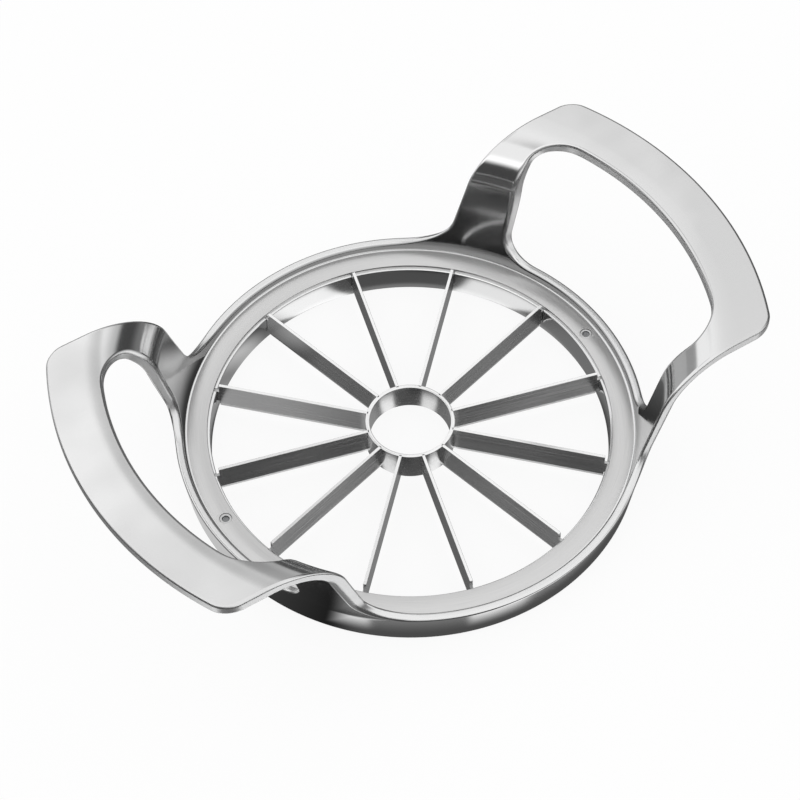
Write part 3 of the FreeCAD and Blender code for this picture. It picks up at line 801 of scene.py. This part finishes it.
blade_finish = Finish("blade_steel")
distance, turn, height = blade_finish.round_place()
lines = blade_finish.noise(blade_finish.joined(distance * 40.0, turn * 9.0, height * 4200.0), 1.0,
                           detail=3.0, roughness=0.6)
clouds = blade_finish.noise(blade_finish.place(), 90.0, detail=2.0)
ground = blade_finish.between(height, BLADE_BOTTOM * MM, (BLADE_BOTTOM + GROUND_HEIGHT) * MM, 1.0, 0.0)
# painted sheen: the blades are lightened half way out along their length
painted_sheen = blade_finish.hill(distance, 31 * MM, 16 * MM)
# painted highlight: the top edge of each blade is lightened
painted_top_highlight = blade_finish.ramp(height, (BLADE_TOP - 0.25) * MM, (BLADE_TOP - 0.05) * MM)
core_wall = blade_finish.ramp(distance, 13.5 * MM, 11.8 * MM)
rolled_steel_and_painted_sheen = blade_finish.blend((lines * 0.5 + clouds * 0.3 + painted_sheen * 0.35).least(1.0),
                                  grey(BLADE_LEVEL * 0.82, -0.004), grey(BLADE_LEVEL * 1.25))
blade_finish.feed(
    metallic=1.0,
    base_color=blade_finish.blend(painted_top_highlight, blade_finish.blend(core_wall, rolled_steel_and_painted_sheen, grey(TUBE_LEVEL)),
                                  grey(TOP_HIGHLIGHT_LEVEL)),
    roughness=blade_finish.between(lines, 0.3, 0.7, 0.18, 0.28) - ground * 0.06,
    normal=blade_finish.bump(lines * (1.0 - painted_top_highlight), 0.12, 0.00004),
)
print("blade steel:", len(blade_finish.tree.nodes), "nodes")

# %% [markdown]
# ## Putting the finishes on
#
# Each blade first takes the place of the measured solid that lies nearest to it, found by the middles of
# their boxes, so that the order of the names doesn't matter.  Then every piece takes its material.  The
# measured solids that the pieces stand for get one too, so that nothing is left bare.

# %% Match the blades with their solids
def middle(corners):
    """The middle of a box, from its corners."""
    return sum((Vector(corner) for corner in corners), Vector()) / len(corners)


blade_nodes = sorted(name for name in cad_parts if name.startswith("blade_"))
for blade in blades:
    nearest = min(blade_nodes, key=lambda name: (middle(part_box(name)) - middle(blade.bound_box)).length)
    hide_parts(nearest)
print("blades matched:", len(blade_nodes))


# %% Put the finishes on
def dress(objects, finish):
    for dressed in objects:
        dressed.data.materials.clear()
        dressed.data.materials.append(finish.material)


dress([casting, ledge_ring, bead, *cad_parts.values()], casting_finish)
dress([plate], satin_finish)
dress(pins, pin_finish)
dress([*blades, core], blade_finish)
print("dressed")

# %% [markdown]
# ## Light: a white room, and a studio that only the metal sees
#
# The light itself is plain: an even white sky over a pale floor.  But polished metal that mirrors only
# white looks like plaster.  A studio for metal wares has dark walls, white paper and a dark bench, and
# the metal is lit by what it mirrors.  The sky does both jobs: the Light Path node tells it when a ray
# comes from a mirror-like surface, and only then does it show the studio.
#
# The studio is written in two measures, as on a compass: `sector` picks a range of directions round the
# tool, in degrees from the x axis, and `climb` and `band` pick a height over the horizon.

# %% Directions of the sky
sky = bpy.data.worlds.new("sky")
bpy.context.scene.world = sky
studio = Finish("studio", holder=sky)
sky_x, sky_y, sky_z = studio.parts(studio.node("ShaderNodeTexCoord", output="Generated"))
level_run = (sky_x * sky_x + sky_y * sky_y).most(0.0001).root()


def cosine(degrees):
    return math.cos(math.radians(degrees))


def sine(degrees):
    return math.sin(math.radians(degrees))


def sector(degrees, half_width, softness):
    """1 for the directions round one compass turn, and 0 away from it, with a soft edge."""
    nearness = (sky_x * cosine(degrees) + sky_y * sine(degrees)) / level_run
    return studio.ramp(nearness, cosine(min(half_width + softness, 180)),
                       cosine(max(half_width - softness, 0)))


def climb(start, end):
    """0 at one height over the horizon and 1 at another, both in degrees."""
    return studio.ramp(sky_z, sine(start), sine(end))


def band(degrees, half_width):
    """1 at one height over the horizon, falling to 0 at each side of it."""
    return studio.hill(sky_z, sine(degrees), half_width)


print("directions: sector, climb, band")

# %% [markdown]
# ## Above the horizon
#
# Two dark walls stand at the left and the right, and the upper right arm and the bends of the handles
# mirror them as the dark bands that make metal look like metal.  Two low shelves stand behind the tool,
# and a lamp strip and a low glow keep the walls from going dead.

# %% The walls
WALL_LEVEL = 0.06

wall_left = sector(-158, 30, 30) * climb(31, 22)
wall_right = sector(12, 31, 31) * (1.0 - 0.55 * climb(31, 37) - 0.45 * climb(37, 51))
shelf_back = 0.6 * sector(104, 22, 6) * climb(10, 8)
shelf_near = 0.95 * sector(76, 18, 5) * climb(15, 11)
lamp_strip = 0.35 * sector(-158, 35, 15) * band(34, 0.12)
low_light = 0.13 * sector(12, 40, 20) * band(6, 0.22)
dark_share = wall_left.most(wall_right).most(shelf_back).most(shelf_near)
above = 1.0 - (1.0 - WALL_LEVEL) * dark_share + lamp_strip + low_light
print("walls, shelves and lamps:", len(studio.tree.nodes), "nodes")

# %% [markdown]
# ## Below the horizon
#
# The tool stands on a dark bench, and white sheets lie on it, so that the blades, the core tube and the
# outside of the ring mirror dark and light by turns.  The bench is darkest under the left handle.

# %% The bench and its sheets
BENCH_LEVEL = 0.085
UNDER_HANDLE_SHADE = 0.72

steep = climb(-33, -42)
sheets = (sector(-58, 20, 2.5) + 0.85 * sector(-174, 21, 3) + 0.22 * sector(8, 32, 14)
          + 0.10 * sector(122, 30, 20))
far_bench = 0.36 * sector(106, 22, 7) * (1.0 - steep)
under_handle = sector(-155, 30, 15) * climb(-9, -16) * (1.0 - steep)
bench = BENCH_LEVEL * (1.0 - UNDER_HANDLE_SHADE * under_handle)
near_sheet = 0.85 * sector(-48, 22, 8) * climb(-18, -8)
at_the_foot = 0.13 * climb(-58, -64)
below = bench + sheets * steep + far_bench + near_sheet + at_the_foot
print("bench and sheets:", len(studio.tree.nodes), "nodes")

# %% Put the sky together
HORIZON = 0.02

mirrored = studio.node("ShaderNodeLightPath", output="Is Glossy Ray")
seen = below + (above - below) * studio.ramp(sky_z, -HORIZON, HORIZON)
background = studio.tree.nodes["Background"]
studio.fill(background.inputs["Strength"], 1.0 + mirrored * (seen - 1.0))
studio.fill(background.inputs["Color"], grey(1.0))
print("sky:", len(studio.tree.nodes), "nodes")

# %% [markdown]
# ## The floor
#
# The floor is a pale sheet that keeps the tool's shadow.  To the camera it is nine tenths a plain white
# glow, so that it ends in no visible horizon, and one tenth a lit surface, which carries the shadow.  The
# metal doesn't see it: the bench of the studio takes its place in reflections, or its white would fill
# every dark band.

# %% Floor
FLOOR_SIDE = 6.0
FLOOR_DROP = 0.05
FLOOR_GLOW = 0.9


def studio_sheet(name, size, place, upright=False):
    """A flat sheet that stands in the studio and isn't part of the tool."""
    shape = bmesh.new()
    bmesh.ops.create_grid(shape, x_segments=1, y_segments=1, size=0.5)
    bmesh.ops.scale(shape, vec=(*size, 1.0), verts=shape.verts)
    if upright:
        quarter_turn = Matrix.Rotation(math.pi / 2, 3, "X")
        bmesh.ops.rotate(shape, cent=(0, 0, 0), matrix=quarter_turn, verts=shape.verts)
    bmesh.ops.translate(shape, vec=place, verts=shape.verts)
    sheet = new_object(name, shape)
    return sheet


floor = studio_sheet("floor", (FLOOR_SIDE, FLOOR_SIDE), (0.0, 0.0, -FLOOR_DROP * MM))
floor.visible_glossy = False
floor_finish = Finish("floor")
floor_finish.feed(base_color=grey(0.92), roughness=0.9)
to_camera = floor_finish.node("ShaderNodeLightPath", output="Is Camera Ray")
glow = floor_finish.node("ShaderNodeEmission", inputs={"Color": grey(1.0), "Strength": 1.0})
floor_finish.surface(floor_finish.node("ShaderNodeMixShader", inputs={
    0: to_camera * FLOOR_GLOW, 1: Field(floor_finish, floor_finish.shader.outputs[0]), 2: glow}))
floor.data.materials.append(floor_finish.material)
print("floor at", -FLOOR_DROP, "mm")

# %% [markdown]
# ## Cards close to the metal
#
# The sky is endlessly far away, so every arm of the handles mirrors it alike.  What stands close is
# mirrored by one arm alone.  So a few cards stand round the tool, as on a studio table.  They are left
# out of the camera's own rays, of the soft light and of the shadows, and act in reflections alone.  A
# card glows evenly, somewhere between black and white, and is clear where it doesn't cover.

# %% How a card is made
def reflected_card(sheet, finish, cover, level):
    """Show a sheet to the metal alone.  Cover says where it is, and level how light it is, from 0 to 1."""
    for visibility in ("visible_camera", "visible_diffuse", "visible_shadow"):
        setattr(sheet, visibility, False)
    black, white = [finish.node("ShaderNodeEmission", inputs={"Color": grey(shade), "Strength": 1.0})
                    for shade in (0.0, 1.0)]
    clear = finish.node("ShaderNodeBsdfTransparent")
    lit = finish.node("ShaderNodeMixShader", inputs={0: level, 1: black, 2: white})
    finish.surface(finish.node("ShaderNodeMixShader", inputs={0: cover, 1: clear, 2: lit}))
    sheet.data.materials.append(finish.material)
    print(sheet.name + ":", len(finish.tree.nodes), "nodes")


print("a card mixes black, white and clear")

# %% [markdown]
# The first card is the shade under the rim.  It lies on the floor as a ring that the slanted outer wall
# mirrors.  It reaches further out and is darker under the near left arm, turns to white paper round the
# left side, and has one more piece of paper at the back, inside the ring.

# %% The shade under the rim
SHADE_SIDE = 0.15
SHADE_LEVEL = 0.08
PAPER_LEVEL = 0.5

shade_finish = Finish("rim_shade")
x, y, _ = shade_finish.parts(shade_finish.place())
distance, turn, _ = shade_finish.round_place()
distance, turn = distance / MM, turn * math.degrees(1.0)
under_arm = shade_finish.ramp(turn, -134.0, -144.0) * shade_finish.ramp(turn, -164.0, -159.0)
left_paper = shade_finish.ramp(turn, -159.0, -164.0).most(shade_finish.ramp(turn, 135.0, 145.0))
wide_ring = (under_arm + left_paper) * shade_finish.ramp(distance, 74.0, 70.0)
under_rim = shade_finish.ramp(distance, 64.5, 60.0).most(wide_ring) * shade_finish.ramp(distance, 55.0, 57.0)
far_paper = shade_finish.hill(x, -18 * MM, 15 * MM) * shade_finish.hill(y, 44 * MM, 12 * MM)
arm_shade = under_arm * shade_finish.between(turn, -160.0, -142.0, 0.45, 0.85)
reflected_card(
    studio_sheet("rim_shade", (SHADE_SIDE, SHADE_SIDE), (0.0, 0.0, -FLOOR_DROP * MM / 2)), shade_finish,
    cover=under_rim.most((far_paper * 2.0).least(1.0)),
    level=SHADE_LEVEL * (1.0 - arm_shade) + PAPER_LEVEL * left_paper
    + PAPER_LEVEL * far_paper * shade_finish.ramp(x, -9 * MM, -20 * MM))

# %% [markdown]
# The second card is a grey flag, 200 mm up.  It hangs over the left handle's reflection and lays a soft
# shade across that grip, so that the grip doesn't go flat.

# %% A grey flag overhead
FLAG_SIDE = 0.132
FLAG_PLACE = (0.010, 0.085, 0.200)
FLAG_LEVEL = 0.58

flag_finish = Finish("grey_flag")
x, y, _ = flag_finish.parts(flag_finish.place())
reflected_card(
    studio_sheet("grey_flag", (FLAG_SIDE, FLAG_SIDE), FLAG_PLACE), flag_finish,
    cover=flag_finish.ramp(x, -28 * MM, -6 * MM) * flag_finish.ramp(x, 54 * MM, 36 * MM)
    * flag_finish.ramp(y - x * 0.9, 38 * MM, 56 * MM) * flag_finish.ramp(y, 148 * MM, 120 * MM),
    level=FLAG_LEVEL)

# %% [markdown]
# The third card is a dark fin that stands upright beside the right handle.  The bend of the lower right
# arm mirrors it, which carries the dark band of that arm up to the grip.

# %% A dark fin beside the right handle
FIN_LEFT = 0.036
FIN_RIGHT = 0.056
FIN_LOW = 0.0455
FIN_HIGH = 0.0610
FIN_LEVEL = 0.33

fin_finish = Finish("dark_fin")
_, _, height = fin_finish.parts(fin_finish.place())
reflected_card(
    studio_sheet("dark_fin", (FIN_RIGHT - FIN_LEFT, FIN_HIGH - FIN_LOW),
                 ((FIN_LEFT + FIN_RIGHT) / 2, 0.0, (FIN_LOW + FIN_HIGH) / 2), upright=True), fin_finish,
    cover=fin_finish.ramp(height, FIN_HIGH, FIN_HIGH - 3 * MM), level=FIN_LEVEL)

# %% [markdown]
# The last two are slips that lie over the satin ring, at the feet of the handles.  The arms above mirror
# them and darken towards their feet, as the inside of a corner does.  A slip is clear from below, so that
# the satin ring itself doesn't mirror it: the Geometry node's Backfacing output tells the two sides apart.

# %% A dark slip at the foot of the right handle
SLIP_SIZE = (0.013, 0.018)
SLIP_PLACE = (0.0505, -0.0215, 0.012)


def from_above(finish):
    """1 where a sheet is seen from its upper side, and 0 from below."""
    return 1.0 - finish.node("ShaderNodeNewGeometry", output="Backfacing")


slip_finish = Finish("dark_slip")
_, y, _ = slip_finish.parts(slip_finish.place())
reflected_card(
    studio_sheet("dark_slip", SLIP_SIZE, SLIP_PLACE), slip_finish,
    cover=from_above(slip_finish) * slip_finish.ramp(y, -12.7 * MM, -16.0 * MM),
    level=slip_finish.between(y, -28 * MM, -14 * MM, 0.035, 0.11))

# %% A graded slip at the foot of the left handle
GRADED_SIZE = (0.024, 0.070)
GRADED_PLACE = (-0.046, 0.013, 0.0092)

graded_finish = Finish("graded_slip")
_, y, _ = graded_finish.parts(graded_finish.place())
distance, _, _ = graded_finish.round_place()
reflected_card(
    studio_sheet("graded_slip", GRADED_SIZE, GRADED_PLACE), graded_finish,
    cover=from_above(graded_finish) * graded_finish.ramp(distance, 50.6 * MM, 51.4 * MM)
    * graded_finish.ramp(y, -22 * MM, -4 * MM),
    level=graded_finish.between(distance, 51.3 * MM, 57.0 * MM, 0.66, 0.08))

# %% The end
print("scene built")
